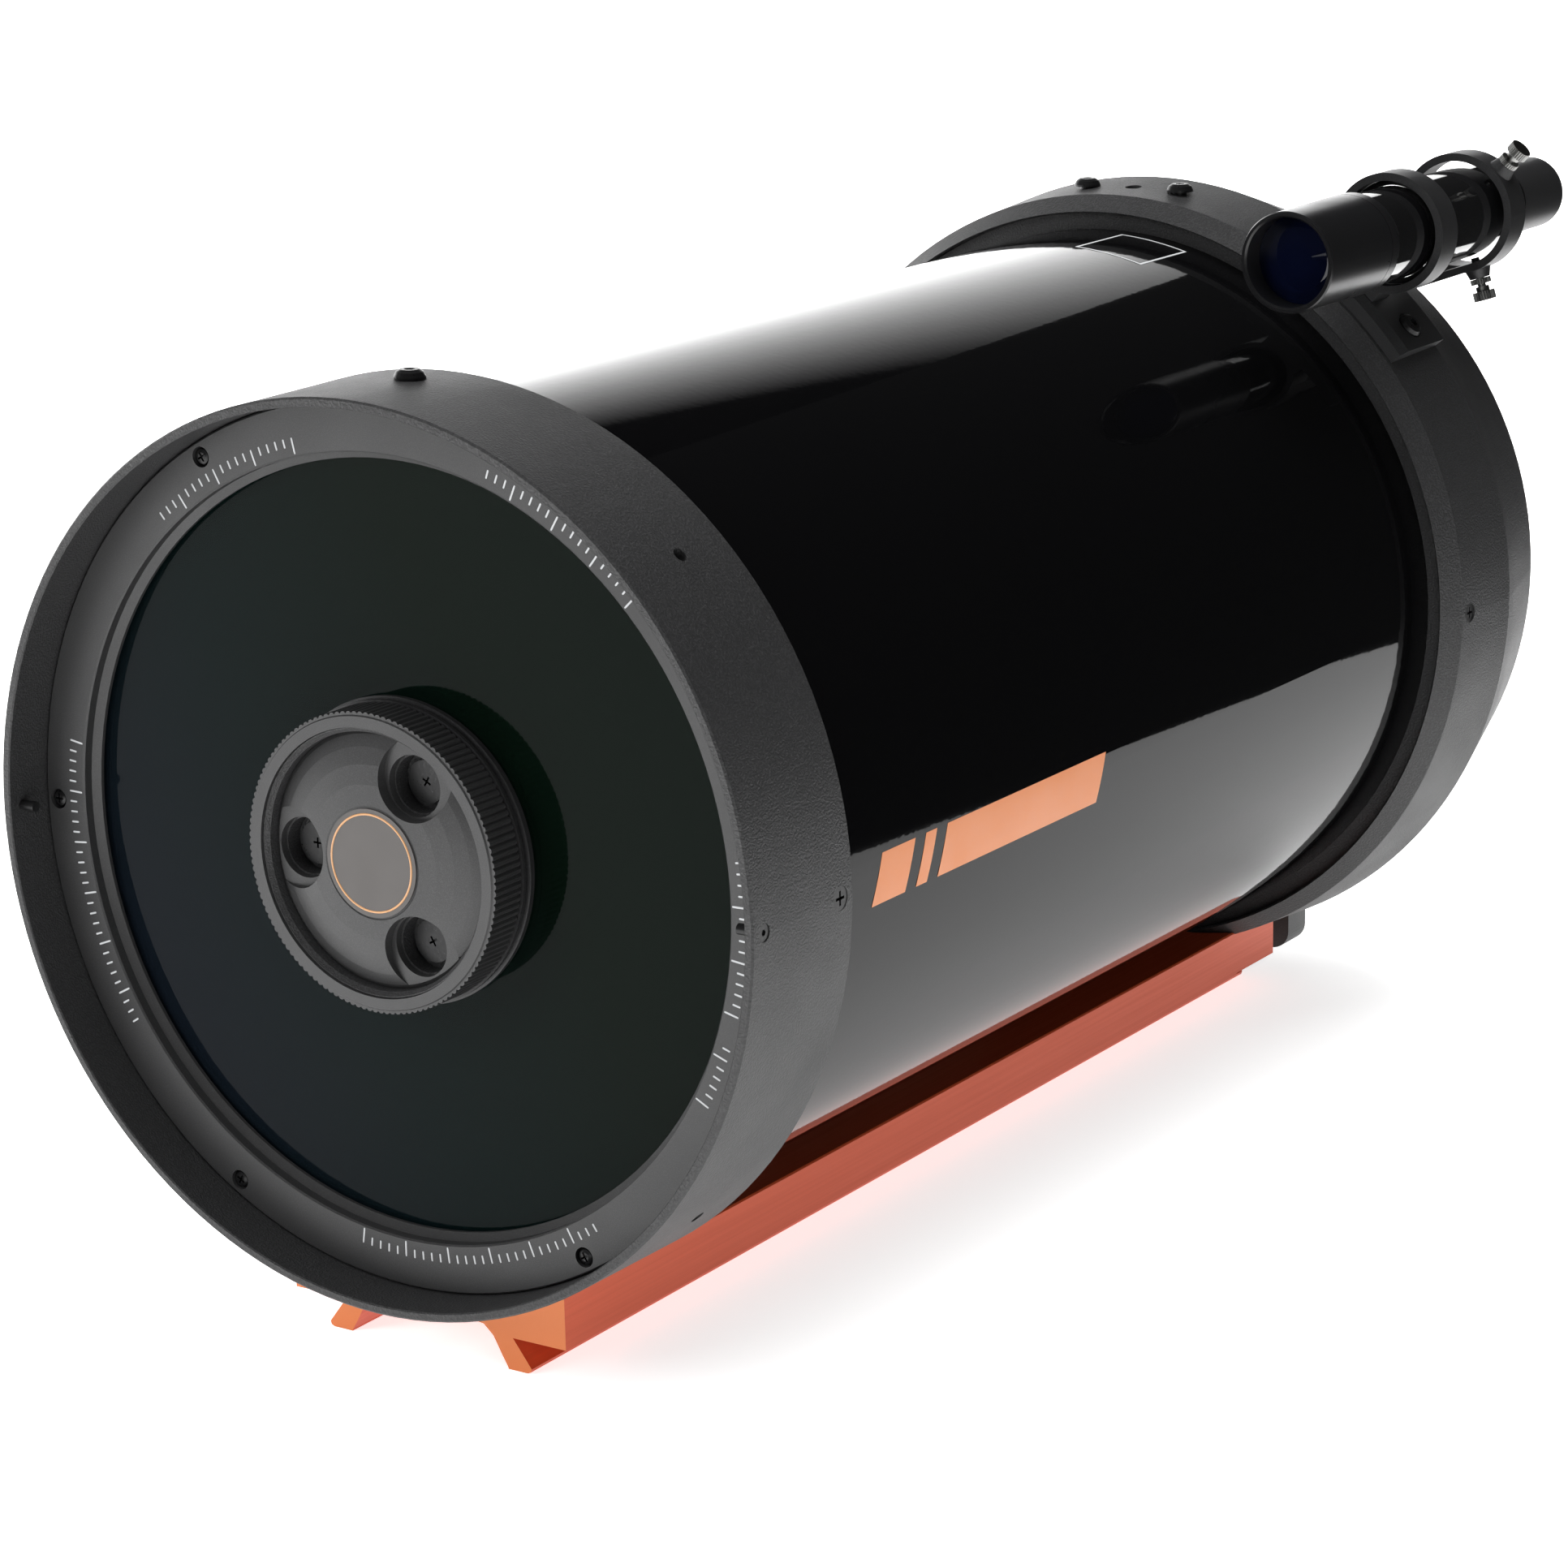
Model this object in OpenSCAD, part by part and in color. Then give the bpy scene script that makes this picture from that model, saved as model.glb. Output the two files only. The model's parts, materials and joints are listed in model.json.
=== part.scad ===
// Schmidt-Cassegrain optical tube on a wide dovetail bar, with its finder.
// The optical axis runs along Y and the open end faces -Y. The origin is the
// middle of the bar's bottom face. Round parts are drawn about the optical
// axis, and their y values count from the front rim.

/* [Optics] */
// Clear radius of the corrector ring, half the aperture and a margin
aperture_r = 118.1; // [95:0.1:140]
// Thickness of the corrector plate
corrector_t = 5.5; // [4:0.1:7]
// Thickness of the primary mirror at its edge
primary_t = 21; // [16:0.5:24]
// Radius of the secondary mirror
secondary_r = 33; // [26:0.5:34]

/* [Tube and cells] */
// Where the rear cell starts behind the front rim
rear_start = 436.4; // [350:0.1:520]
// Wall thickness of the tube
tube_wall = 1.6; // [1.2:0.1:2.4]
// Length of the front cell
front_len = 50.4; // [48:0.1:60]
// Depth of the corrector ring's face inside the rim
ring_depth = 16.2; // [13:0.1:19]
// Length of the screw band on the rear cell
band_len = 33; // [30:0.5:40]
// Length of the rear cell's taper behind the band
taper_len = 49; // [44:0.5:58]

/* [Dovetail bar] */
// Half width of the bar's body
bar_half_w = 50.8; // [44:0.1:56]
// Height of the bar's side
bar_side_h = 16.8; // [15:0.1:20]
// Height of the dovetail foot
foot_h = 10.2; // [8:0.1:12]
// Half width of the dovetail at its bottom
foot_half_w = 38; // [35:0.1:40]
// Setback of the bar's front end from the front rim
bar_front = 24; // [10:0.5:30]

/* [Secondary] */
// Radius of the knurled secondary ring
knurl_r = 45; // [40:0.5:54]
// How far the secondary ring stands in front of the corrector
secondary_stand = 18; // [17:0.1:19]

/* [Finder] */
// Radius of the finder's main tube
finder_r = 16.2; // [14:0.1:17]
// Clock angle of the finder around the tube, from +X towards +Z
finder_angle = 51.3; // [40:0.1:70]
// Distance between the band and the finder's axis
finder_rise = 27.1; // [25:0.1:34]

/* [Focuser] */
// Radius of the focus knob
knob_r = 15; // [11:0.5:18]
// Distance of the focus screw from the optical axis
focus_offset = 82; // [76:0.5:92]

/* [Hidden] */
$fn = 96;

// Clearances
run_fit = 0.06;
press = 0.02;
seat_gap = 0.1;
loose = 0.35;

// Radii of the tube and its cells
rim_r = aperture_r + 18.4;
rim_bore = rim_r - 2.9;
tube_r = aperture_r + 9.2;
tube_in = tube_r - tube_wall;
cell_rear_r = rim_r + 0.4;
corrector_r = aperture_r + 3.6;
pocket_r = corrector_r + 0.7;
lip_r = rim_r + 3;
band_r = rim_r + 5.4;
taper_r = rim_r - 8.3;
taper_slope = (band_r - taper_r) / taper_len;

// Stations along the optical axis, from the front rim
ring_t = 6.5;
gasket_t = 1.2;
ring_back = ring_depth + ring_t;
corrector_y = ring_back + gasket_t;
corrector_back = corrector_y + corrector_t;
pocket_floor = corrector_back + gasket_t;
cell_bore_end = pocket_floor + 5.6;
tube_front = cell_bore_end + 1.4;
lip_end = rear_start + 7.7;
band_end = lip_end + band_len;
taper_end = band_end + taper_len;
back_face = taper_end + 5;
tube_rear = lip_end + 12;
cell_floor = back_face - 7;
wall_t = 9;

// The bar
bar_sink = 7.4;
bar_top = foot_h + bar_side_h;
axis_h = rim_r + bar_top - bar_sink;
bar_rear = band_end - 3;
bar_mid = (bar_front + bar_rear) / 2;
neck_half_w = foot_half_w - 6.6;
channel_half_w = foot_half_w - 8.5;
web_t = 3.2;
seat_flat = axis_h - rim_r - 3.1;
bolt_x = 9.5;
front_bolt_y = 34;
rear_bolt_y = lip_end + 10;

// The secondary
stand_y = corrector_y - secondary_stand;
hole_r = knurl_r - 4.5;
collimation_r = 27.6;
cover_r = knurl_r - 6.4;
collimation_angles = [60, 180, 300];

// The primary and focuser
baffle_r = 25.4;
baffle_front = rear_start - 180;
primary_r = aperture_r + 1;
primary_back = band_end + 4;
focus_angle = 240;
focus_travel = 7.5;

// The finder, its stations from the front rim
finder_d = band_r - 1.1 + finder_rise;
finder_x = finder_d * cos(finder_angle);
finder_z = finder_d * sin(finder_angle);
bell_y = lip_end - 70.7;
bell_len = 44.6;
lock_y = bell_y + bell_len + 0.3;
ring1_y = lip_end + 5.9;
ring2_y = ring1_y + 55.6;
ring_w = 12.2;
ring1_r = finder_r + 4.9;
ring2_r = finder_r + 5.3;
aim_y = ring2_y + ring_w / 2;
eyepiece_end = ring2_y + 67.4;
aim_angles = [47, 167, 287];
strut_angles = [175.6, 287];

// Puts the optical axis on local Z, with z = 0 at the front rim
module on_axis(y = 0) {
    translate([0, y - bar_mid, axis_h]) rotate([-90, 0, 0]) children();
}

// Turns to a clock angle, counted from +X towards +Z
module clock(angle) {
    rotate([0, 0, -angle]) children();
}

// Places a child at a radius and height with its local Z pointing outward
module outward(angle, r, z) {
    clock(angle) translate([r, 0, z]) rotate([0, 90, 0]) children();
}

// Puts the finder's axis on local Z, with z = 0 at the front rim
module on_finder() {
    translate([finder_x, -bar_mid, axis_h + finder_z]) rotate([-90, 0, 0]) children();
}

// A ring with a plain square section
module tube_ring(r_out, r_in, z, h) {
    translate([0, 0, z]) difference() {
        cylinder(r = r_out, h = h);
        translate([0, 0, -1]) cylinder(r = r_in, h = h + 2);
    }
}

// A straight knurl made of small teeth
module knurl(r, depth, teeth, h) {
    step = 360 / teeth;
    linear_extrude(h) polygon([for (i = [0:teeth - 1]) for (p = [[r, 0.15], [r, 0.5], [r - depth, 0.82]])
        p[0] * [cos((i + p[1]) * step), sin((i + p[1]) * step)]]);
}

// A Phillips recess, cut into a head from above
module cross_cut(size, depth) {
    for (a = [0, 90]) rotate([0, 0, a])
        translate([-size / 2, -size / 10, -depth]) cube([size, size / 5, depth + 1]);
}

// A button head screw, its head's seat at z = 0
module button_screw(head_r, head_h, shank_r, shank_l, key) {
    difference() {
        union() {
            rotate_extrude() polygon([[0, 0], [head_r, 0], [head_r, head_h * 0.25],
                [head_r * 0.86, head_h * 0.72], [head_r * 0.6, head_h], [0, head_h]]);
            translate([0, 0, -shank_l]) cylinder(r = shank_r, h = shank_l + 0.1);
        }
        translate([0, 0, head_h * 0.35]) cylinder(r = key, h = head_h, $fn = 6);
    }
}

// A countersunk screw, the top of its head at z = 0
module countersunk_screw(head_r, shank_r, shank_l) {
    difference() {
        union() {
            translate([0, 0, -head_r * 0.6]) cylinder(r1 = shank_r, r2 = head_r, h = head_r * 0.6);
            translate([0, 0, -shank_l]) cylinder(r = shank_r, h = shank_l - head_r * 0.3);
        }
        cross_cut(head_r * 1.2, head_r * 0.4);
    }
}

// The hole that a countersunk screw sits in
module countersunk_hole(head_r, shank_r, shank_l) {
    translate([0, 0, -head_r * 0.6]) cylinder(r1 = shank_r + press, r2 = head_r + press, h = head_r * 0.6);
    translate([0, 0, -0.01]) cylinder(r = head_r + press, h = 3);
    translate([0, 0, -shank_l]) cylinder(r = shank_r + press, h = shank_l);
}

// ---- Front cell and corrector ----

cap_pin_y = 5.6;
centring_y = corrector_y + corrector_t / 2 + 0.8;
cell_screw_y = front_len - 7;
cell_screw_angles = [0, 120, 240];
centring_angles = [45, 135, 225, 315];
ring_screw_r = rim_bore - 4.9;

module front_cell() {
    color("#2a2a2b") on_axis() difference() {
        rotate_extrude() polygon([[rim_bore, 0.4], [rim_bore + 0.4, 0], [rim_r - 0.6, 0], [rim_r, 0.6],
            [cell_rear_r, front_len - 0.9], [cell_rear_r - 0.9, front_len], [tube_r + press, front_len],
            [tube_r + press, tube_front], [tube_in - 1.5, tube_front], [tube_in - 1.5, cell_bore_end],
            [aperture_r + 0.5, cell_bore_end], [aperture_r + 0.5, pocket_floor],
            [pocket_r, pocket_floor], [pocket_r, ring_back], [rim_bore, ring_back]]);
        for (a = [0, 180]) outward(a, rim_bore - 1, cap_pin_y) {
            cylinder(r = 1.6 + press, h = 6);
            translate([0, 0, 2.6]) cylinder(r = 2.6 + press, h = 4);
        }
        outward(90, rim_r - 10, front_bolt_y) cylinder(r = 2.5 + press, h = 12);
        for (a = centring_angles) outward(a, pocket_r - 1, centring_y) cylinder(r = 2.2 + press, h = 20);
        for (a = cell_screw_angles) outward(a, cell_rear_r - 0.2, cell_screw_y)
            countersunk_hole(3.6, 1.9, cell_rear_r - tube_in + 2);
        for (a = [0:60:300]) clock(a + 60) translate([ring_screw_r, 0, ring_back - 0.5])
            cylinder(r = 1.5 + press, h = 7);
        for (s = [-1, 1]) translate([s * bolt_x, 0, front_bolt_y]) rotate([-90, 0, 0])
            translate([0, 0, rim_r - 7]) cylinder(r = 3 + press, h = 20);
    }
}

module cap_pins() {
    color("#6f6f70") on_axis() for (a = [0, 180]) outward(a, rim_bore - 5.4, cap_pin_y) {
        cylinder(r = 1.6, h = 7.1);
        translate([0, 0, 7.05]) difference() {
            cylinder(r = 2.6, h = 1);
            translate([0, 0, 0.4]) cylinder(r = 1, h = 1, $fn = 6);
        }
    }
}

module centring_screws() {
    color("#1c1c1d") on_axis() for (a = centring_angles) outward(a, corrector_r + 0.35, centring_y)
        difference() {
        cylinder(r = 2.2, h = 10);
        translate([0, 0, 7]) cylinder(r = 1.1, h = 4, $fn = 6);
    }
}

module front_cell_screws() {
    color("#3a3a3b") on_axis() for (a = cell_screw_angles) outward(a, cell_rear_r - 0.2, cell_screw_y)
        countersunk_screw(3.6, 1.9, cell_rear_r - tube_in + 0.4);
}

module corrector_plate() {
    color("#3f5a63", 0.5) on_axis() tube_ring(corrector_r, hole_r, corrector_y, corrector_t);
}

module corrector_gaskets() {
    color("#151515") on_axis() for (y = [ring_back, corrector_back])
        tube_ring(corrector_r, aperture_r + 1.2, y + 0.05, gasket_t - 0.1);
}

module corrector_ring() {
    color("#3b3b3c") on_axis() difference() {
        rotate_extrude() polygon([[aperture_r, ring_depth + 0.5], [aperture_r + 0.5, ring_depth],
            [rim_bore - 0.9, ring_depth], [rim_bore - 0.4, ring_depth + 0.5],
            [rim_bore - 0.4, ring_back - 0.02], [aperture_r - 2.3, ring_back - 0.02],
            [aperture_r - 2.3, ring_back - 1.2], [aperture_r, ring_back - 3]]);
        for (a = [0:60:300]) clock(a) translate([ring_screw_r, 0, ring_depth - 1]) {
            cylinder(r = 1.5 + press, h = ring_t + 2);
            cylinder(r = 3.1, h = 3.4);
        }
    }
}

module corrector_ring_screws() {
    color("#8d8d8c") on_axis() for (a = [0:60:300]) clock(a)
        translate([ring_screw_r, 0, ring_depth + 2.4]) rotate([180, 0, 0]) difference() {
            union() {
                rotate_extrude() polygon([[0, 0], [2.8, 0], [2.8, 0.8], [2.2, 1.7], [1.3, 2.1], [0, 2.1]]);
                translate([0, 0, -10]) cylinder(r = 1.5, h = 10.1);
            }
            translate([0, 0, 2.1]) cross_cut(3, 1.2);
        }
}

// ---- Secondary ----

module secondary_gasket() {
    color("#151515") on_axis() tube_ring(knurl_r + 0.8, hole_r + 0.4, corrector_y - 0.7, 0.65);
}

module secondary_housing() {
    color("#262627") on_axis() rotate_extrude() polygon([[hole_r - 2.6, stand_y + 9],
        [knurl_r - 2.6, stand_y + 9], [knurl_r - 2.6, stand_y + 12.9], [knurl_r + 0.6, stand_y + 12.9],
        [knurl_r + 0.6, stand_y + 14], [knurl_r - 0.7, stand_y + 14.3], [knurl_r - 0.7, stand_y + 15.3],
        [knurl_r + 1.2, stand_y + 15.6], [knurl_r + 1.2, corrector_y - 0.75],
        [hole_r - 0.3, corrector_y - 0.75], [hole_r - 0.3, corrector_back + 5],
        [hole_r - 2.6, corrector_back + 5]]);
}

module secondary_baffle() {
    color("#19191a") on_axis() rotate_extrude() polygon([[hole_r - 0.3 + run_fit, corrector_back + 0.4],
        [knurl_r + 3, corrector_back + 0.4], [knurl_r + 3.4, corrector_back + 3],
        [knurl_r - 2.5, corrector_back + 44], [knurl_r - 4, corrector_back + 44],
        [knurl_r + 1.4, corrector_back + 5.6], [hole_r - 0.3 + run_fit, corrector_back + 5.2]]);
}

module secondary_ring() {
    color("#3f3f40") on_axis() difference() {
        union() {
            translate([0, 0, stand_y + 0.5]) knurl(knurl_r, 0.6, 132, 12);
            translate([0, 0, stand_y]) cylinder(r1 = knurl_r - 1.4, r2 = knurl_r - 0.9, h = 0.7);
        }
        translate([0, 0, stand_y - 1]) cylinder(r = knurl_r - 4.7, h = 20);
        translate([0, 0, stand_y + 1.8]) cylinder(r = knurl_r - 2.6 + run_fit, h = 20);
    }
}

cell_r = hole_r - 2.7;
cover_y = stand_y + 3.4;

module secondary_cell() {
    color("#232324") on_axis() difference() {
        rotate_extrude() polygon([[0, cover_y + 4], [cover_r + 0.05, cover_y + 4],
            [cover_r + 0.05, stand_y + 2.4],
            [knurl_r - 5.3, stand_y + 0.9], [knurl_r - 4.9, stand_y + 0.9], [knurl_r - 4.9, stand_y + 1.9],
            [knurl_r - 3, stand_y + 1.9], [knurl_r - 3, stand_y + 8.9], [cell_r, stand_y + 8.9],
            [cell_r, corrector_back + 9], [cell_r - 1.6, corrector_back + 9],
            [cell_r - 1.6, cover_y + 11.6], [3, cover_y + 11.6], [0.6, cover_y + 15.2], [0, cover_y + 15.2]]);
        for (a = collimation_angles) clock(a) translate([collimation_r, 0, cover_y + 3]) {
            cylinder(r = 1.5 + run_fit, h = 12);
            cylinder(r = 8.6, h = 6.4);
        }
    }
}

module secondary_cover() {
    color("#4a4a4b") on_axis() difference() {
        rotate_extrude() polygon([[0, cover_y - 2.1], [16.6, cover_y - 2.1], [17, cover_y - 2.3],
            [cover_r * 0.6, cover_y - 1.9], [cover_r * 0.75, cover_y - 1], [cover_r * 0.88, cover_y + 0.3],
            [cover_r * 0.97, cover_y + 1.6], [cover_r, cover_y + 2.4], [cover_r, cover_y + 3.95],
            [0, cover_y + 3.95]]);
        for (a = collimation_angles) clock(a) {
            translate([collimation_r + 2.6, 0, cover_y - 4]) cylinder(r = 12.2, h = 5.6);
            translate([collimation_r, 0, cover_y - 4]) cylinder(r = 9.2, h = 12);
        }
    }
}

module badge_disc() {
    color("#8a8683") on_axis() translate([0, 0, cover_y - 2.55]) difference() {
        cylinder(r = 16.2, h = 0.43);
        translate([0, 0, -0.3]) tube_ring(14.9, 14.2, 0, 0.42);
    }
}

module collimation_screw(angle) {
    color("#9a9a99") on_axis() clock(angle) translate([collimation_r, 0, cover_y + 9.38]) {
        difference() {
            translate([0, 0, -2.2]) cylinder(r = 6.4, h = 2.2);
            translate([0, 0, -2.2]) rotate([180, 0, 0]) cross_cut(3.2, 1.4);
        }
        translate([0, 0, -0.01]) cylinder(r = 1.5, h = 6.6);
    }
}

module secondary_plate() {
    color("#8f9092") on_axis() difference() {
        translate([0, 0, cover_y + 13.7]) cylinder(r = secondary_r - 1, h = 4);
        translate([0, 0, cover_y + 13]) cylinder(r1 = 3.4, r2 = 0.8, h = 2.6);
        for (a = collimation_angles) clock(a) translate([collimation_r, 0, cover_y + 13])
            cylinder(r = 1.5 + loose, h = 4);
    }
}

module secondary_mirror() {
    color("#d8dee2") on_axis() rotate_extrude() polygon([[0, cover_y + 17.75], [secondary_r, cover_y + 17.75],
        [secondary_r, cover_y + 24.5], [secondary_r * 0.66, cover_y + 25.8],
        [secondary_r * 0.33, cover_y + 26.5], [0, cover_y + 26.8]]);
}

// ---- Tube and rear cell ----

band_screw_y = lip_end + 4.6;
plug_y = lip_end + 14;
plug_x = [-19, 19];

module main_tube() {
    color("#0c0c0d") on_axis() difference() {
        tube_ring(tube_r, tube_in, tube_front + 0.05, tube_rear - tube_front - 0.1);
        for (a = cell_screw_angles) {
            outward(a, tube_in - 2, cell_screw_y) cylinder(r = 1.9 + press, h = 6);
            outward(a, tube_in - 2, band_screw_y) cylinder(r = 1.9 + press, h = 6);
        }
    }
}

// Outside of the rear cell from its lip to its back face
function shell_outline() = [[tube_r + 6.2, rear_start + 0.6], [tube_r + 6.8, rear_start],
    [lip_r - 0.1, lip_end - 0.4], [lip_r, lip_end + 0.3], [band_r, band_end],
    [taper_r, taper_end], [taper_r - 1.6, taper_end + 3], [taper_r - 5, back_face]];

module rear_cell() {
    color("#2a2a2b") on_axis() difference() {
        rotate_extrude() polygon(concat(shell_outline(), [[41.5, back_face], [41.5, back_face + 6.5],
            [27 + press, back_face + 6.5], [27 + press, cell_floor], [taper_r - 9, cell_floor],
            [band_r - wall_t, band_end + 2], [band_r - wall_t, tube_rear + 6], [tube_in - 2, tube_rear + 2],
            [tube_in - 2, tube_rear], [tube_r + press, tube_rear],
            [tube_r + press, rear_start + 4.6], [tube_r + 6.2, rear_start + 4.6]]));
        translate([-bar_half_w, axis_h - seat_flat, lip_end - 20])
            cube([2 * bar_half_w, 20, bar_rear - lip_end + 20.3]);
        for (a = cell_screw_angles) outward(a, lip_r + 0.1, band_screw_y)
            countersunk_hole(3.4, 1.9, lip_r - tube_in + 2);
        for (x = plug_x) translate([x, 0, plug_y]) rotate([90, 0, 0]) translate([0, 0, tube_r + 2])
            cylinder(r = 2.5 + press, h = 30);
        translate([0, 0, plug_y]) rotate([90, 0, 0]) translate([0, 0, band_r - 9]) cylinder(r = 3, h = 20);
        for (s = [-1, 1]) translate([s * bolt_x, 0, rear_bolt_y]) rotate([-90, 0, 0])
            translate([0, 0, rim_r - 7]) cylinder(r = 3 + press, h = 30);
        for (s = [-1, 1]) outward(finder_angle + s * foot_screw_spread, band_r - wall_t - 2, foot_screw_y)
            cylinder(r = 2.5 + press, h = 20);
        clock(focus_angle) translate([focus_offset, 0, cell_floor - 1]) {
            cylinder(r = 9, h = 20);
            for (a = focus_screw_angles) rotate([0, 0, a]) translate([focus_bolt_r, 0, 0])
                cylinder(r = 1.6 + press, h = 20);
        }
        for (s = [-1, 1]) translate([s * grip_screw_x, 0, grip_screw_y]) rotate([-90, 0, 0])
            translate([0, 0, taper_r - 4]) cylinder(r = 1.9 + press, h = 20);
    }
}

module rear_cell_screws() {
    color("#3a3a3b") on_axis() for (a = cell_screw_angles) outward(a, lip_r + 0.1, band_screw_y)
        countersunk_screw(3.4, 1.9, lip_r - tube_in + 0.4);
}

// Height of the band's surface above the axis at a sideways offset
function band_h(x, y) = sqrt(pow(lip_r + (band_r - lip_r) * (y - lip_end) / band_len, 2) - x * x);

module plug_screws() {
    color("#1c1c1d") on_axis() {
        outward(90, cell_rear_r - 0.05, front_bolt_y) button_screw(4.7, 2.8, 2.5, 8, 1.7);
        for (x = plug_x) translate([x, -band_h(x, plug_y) - 0.7, plug_y])
            rotate([90, 0, 0]) button_screw(4.7, 2.8, 2.5, 8, 1.7);
    }
}

// The grip hangs under the taper, behind the bar
grip_y = band_end + 17;
grip_d = 14;
grip_half_w = bar_half_w - 3.8;
grip_bottom = rim_r + 13.6;
grip_screw_x = 25.5;
grip_screw_y = grip_y + 9;
grip_screw_top = taper_r + 8.5;

module grip_block() {
    translate([0, 0, grip_y]) linear_extrude(grip_d) hull() {
        translate([-grip_half_w, rim_r - 24]) square([2 * grip_half_w, 1]);
        for (s = [-1, 1]) translate([s * (grip_half_w - 7), grip_bottom - 7]) circle(r = 7, $fn = 32);
    }
}

module rear_grip() {
    color("#1f1f20") on_axis() difference() {
        grip_block();
        rotate_extrude() polygon([[0, band_end], [band_r + press, band_end],
            [taper_r + press, taper_end], [0, taper_end]]);
        for (i = [-2:2]) translate([i * 17, rim_r + 3, grip_y - 2]) rotate([-90, 0, 0]) rotate([-22, 0, 0])
            translate([0, 0, -14]) cylinder(r1 = 7.5, r2 = 3, h = 17);
        for (s = [-1, 1]) translate([s * grip_screw_x, 0, grip_screw_y]) rotate([-90, 0, 0]) {
            cylinder(r = 1.9 + press, h = grip_bottom + 1);
            translate([0, 0, grip_screw_top]) cylinder(r = 3.7, h = 30);
        }
    }
}

module grip_screws() {
    color("#3a3a3b") on_axis() for (s = [-1, 1]) translate([s * grip_screw_x, 0, grip_screw_y])
        rotate([-90, 0, 0]) translate([0, 0, grip_screw_top + 0.02]) button_screw(3.4, 2, 1.9, 11, 1.2);
}

// ---- Primary mirror and focuser ----

module baffle_tube() {
    color("#161617") on_axis() difference() {
        rotate_extrude() polygon([[baffle_r - 1.8, baffle_front], [baffle_r, baffle_front],
            [baffle_r, cell_floor - 2.5], [36, cell_floor - 2.5], [36, cell_floor - press],
            [27, cell_floor - press], [27, back_face + 6.4], [baffle_r - 1.8, back_face + 6.4]]);
        for (k = [1:5]) tube_ring(baffle_r - 1.2, baffle_r - 2, baffle_front + 20 * k, 4);
    }
}

module mirror_carrier() {
    color("#77787a") on_axis() difference() {
        union() {
            tube_ring(29, baffle_r + run_fit, primary_back - primary_t - 14, primary_t + 30);
            tube_ring(62, 28, primary_back + 0.1, 5.9);
            clock(focus_angle) translate([28, -9, primary_back + 0.1]) cube([focus_offset - 20, 18, 7]);
            clock(focus_angle) translate([focus_offset, 0, primary_back + 0.1])
                cylinder(r = 11, h = 22);
        }
        clock(focus_angle) translate([focus_offset, 0, primary_back - 1])
            cylinder(r = 3.2 + run_fit, h = 30);
    }
}

module primary_mirror() {
    color("#cfd8de") on_axis() rotate_extrude() polygon([[29 + seat_gap, primary_back],
        [29 + seat_gap, primary_back - primary_t + 4], [31, primary_back - primary_t + 3],
        [60, primary_back - primary_t + 2.6], [90, primary_back - primary_t + 1.4],
        [primary_r, primary_back - primary_t], [primary_r, primary_back - 6], [primary_r - 6, primary_back]]);
}

module mirror_lock_ring() {
    color("#232324") on_axis() difference() {
        tube_ring(37, 29 + press, primary_back - primary_t - 4.5, 6.4);
        for (a = [0:90:270]) clock(a) translate([35, -2, primary_back - primary_t - 5]) cube([4, 4, 3]);
    }
}

focus_screw_angles = [30, 150, 270];
focus_bolt_r = 13.2;
knob_y = back_face + 9;

module focus_plate() {
    color("#303031") on_axis() clock(focus_angle) translate([focus_offset, 0, 0]) difference() {
        union() {
            translate([0, 0, back_face + 0.02]) cylinder(r = 17, h = 5);
            translate([0, 0, cell_floor + 0.5]) cylinder(r = 9 - press, h = back_face - cell_floor);
            translate([0, 0, back_face]) cylinder(r = 8, h = 8.6);
        }
        translate([0, 0, cell_floor - 1]) cylinder(r = 4 + run_fit, h = 40);
        translate([0, 0, back_face - 2.5 - run_fit]) cylinder(r = 6.2 + run_fit, h = 2.5 + 2 * run_fit);
        for (a = focus_screw_angles) rotate([0, 0, a]) translate([focus_bolt_r, 0, back_face - 1]) {
            cylinder(r = 1.6 + press, h = 10);
            translate([0, 0, 3.6]) cylinder(r = 3, h = 4);
        }
    }
}

module focus_plate_screws() {
    color("#8d8d8c") on_axis() clock(focus_angle) translate([focus_offset, 0, 0]) for (a = focus_screw_angles)
        rotate([0, 0, a]) translate([focus_bolt_r, 0, back_face + 2.6]) difference() {
            union() {
                cylinder(r = 2.7, h = 1.9);
                translate([0, 0, -7.5]) cylinder(r = 1.6, h = 7.6);
            }
            translate([0, 0, 1.9]) cross_cut(2.8, 1);
        }
}

module focus_screw() {
    color("#b08d4a") on_axis() clock(focus_angle) translate([focus_offset, 0, 0]) {
        translate([0, 0, primary_back + focus_travel + 0.8])
            cylinder(r = 3.2, h = cell_floor - primary_back - focus_travel + 0.2);
        translate([0, 0, cell_floor + 0.8]) cylinder(r = 4, h = knob_y + 11.2 - cell_floor);
        translate([0, 0, back_face - 2.5]) cylinder(r = 6.2, h = 2.5);
    }
}

module focus_knob() {
    color("#1a1a1b") on_axis() clock(focus_angle) translate([focus_offset, 0, knob_y]) difference() {
        union() {
            knurl(knob_r, 0.8, 40, 17);
            translate([0, 0, 16.9]) cylinder(r1 = knob_r - 0.9, r2 = knob_r - 2.4, h = 1.9);
        }
        translate([0, 0, -1]) cylinder(r = 8 + loose, h = 1.6);
        translate([0, 0, -1]) cylinder(r = 4 + press, h = 13.1);
    }
}

// ---- Rear port and visual back ----

port_y = back_face + 6.5;
back_y = port_y + 8;
back_bore = 15.95;
back_end = back_y + 33;
stud_y = back_y + 25;

module rear_port() {
    color("#2b2b2c") on_axis() rotate_extrude() polygon([[23.6, port_y + 0.02], [41.5 + press, port_y + 0.02],
        [41.5 + press, port_y - 4.5], [44.5, port_y - 4.5], [45.3, port_y - 3.7],
        [45.3, port_y + 1.4], [43.8, port_y + 2.6], [25.4, port_y + 2.6], [25.4, back_y + 1],
        [23.6, back_y + 1]]);
}

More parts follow.
